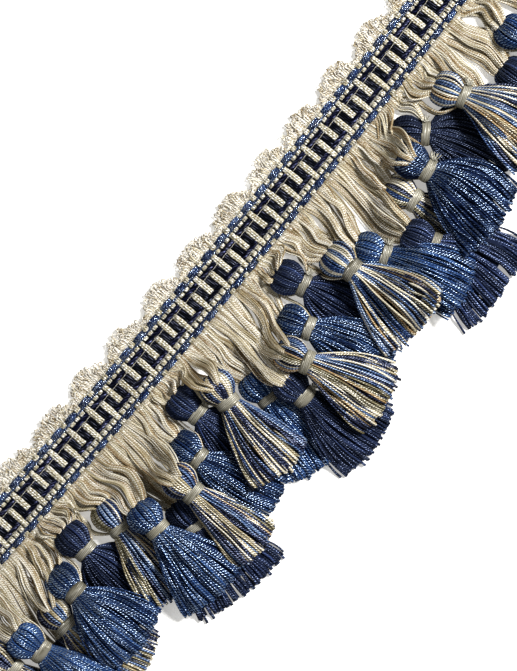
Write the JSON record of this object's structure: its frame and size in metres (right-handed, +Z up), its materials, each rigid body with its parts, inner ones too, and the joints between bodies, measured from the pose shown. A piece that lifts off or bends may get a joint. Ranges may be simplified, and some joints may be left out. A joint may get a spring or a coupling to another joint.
{
  "type": "tassel fringe trim",
  "caption": "Flat woven braid heading with a scalloped picot edge along one side and tied yarn tassels hanging in overlapping layers from the other.",
  "frame": {"origin": "centre of the heading's flat underside, on the surface that the trim lies on", "axes": "+X along the trim, +Y toward the picot edge so that the tassels lie toward -Y, +Z up out of the surface"},
  "size_m": [0.3178, 0.1017, 0.0198],
  "materials": {
    "braid": "woven cotton and rayon braid, ecru, navy and mid blue",
    "ecru_yarn": "loose two-ply ecru yarn with a soft sheen",
    "navy_yarn": "twisted navy rayon yarn, silky sheen",
    "blue_yarn": "twisted mid blue rayon yarn, silky sheen",
    "mixed_yarn": "mixed ecru, tan and blue twisted yarns, silky sheen",
    "tie_thread": "satin binding thread, greyish beige"
  },
  "bodies": {
    "root": {"heading": "braid", "fringe": "ecru_yarn", "tassel_01": "navy_yarn", "tie_01": "tie_thread", "tassel_02": "mixed_yarn", "tie_02": "tie_thread", "tassel_03": "blue_yarn", "tie_03": "tie_thread", "tassel_04": "navy_yarn", "tie_04": "tie_thread", "tassel_05": "mixed_yarn", "tie_05": "tie_thread", "tassel_06": "blue_yarn", "tie_06": "tie_thread", "tassel_07": "navy_yarn", "tie_07": "tie_thread", "tassel_08": "mixed_yarn", "tie_08": "tie_thread", "tassel_09": "blue_yarn", "tie_09": "tie_thread", "tassel_10": "navy_yarn", "tie_10": "tie_thread", "tassel_11": "mixed_yarn", "tie_11": "tie_thread", "tassel_12": "blue_yarn", "tie_12": "tie_thread", "tassel_13": "navy_yarn", "tie_13": "tie_thread", "tassel_14": "mixed_yarn", "tie_14": "tie_thread", "tassel_15": "blue_yarn", "tie_15": "tie_thread", "tassel_16": "navy_yarn", "tie_16": "tie_thread", "tassel_17": "mixed_yarn", "tie_17": "tie_thread", "tassel_18": "blue_yarn", "tie_18": "tie_thread", "tassel_19": "navy_yarn", "tie_19": "tie_thread", "tassel_20": "mixed_yarn", "tie_20": "tie_thread", "tassel_21": "blue_yarn", "tie_21": "tie_thread", "tassel_22": "navy_yarn", "tie_22": "tie_thread", "tassel_23": "mixed_yarn", "tie_23": "tie_thread", "tassel_24": "blue_yarn", "tie_24": "tie_thread", "tassel_25": "navy_yarn", "tie_25": "tie_thread", "tassel_26": "mixed_yarn", "tie_26": "tie_thread", "tassel_27": "blue_yarn", "tie_27": "tie_thread", "tassel_28": "navy_yarn", "tie_28": "tie_thread", "tassel_29": "blue_yarn", "tie_29": "tie_thread"}
  },
  "joints": []
}
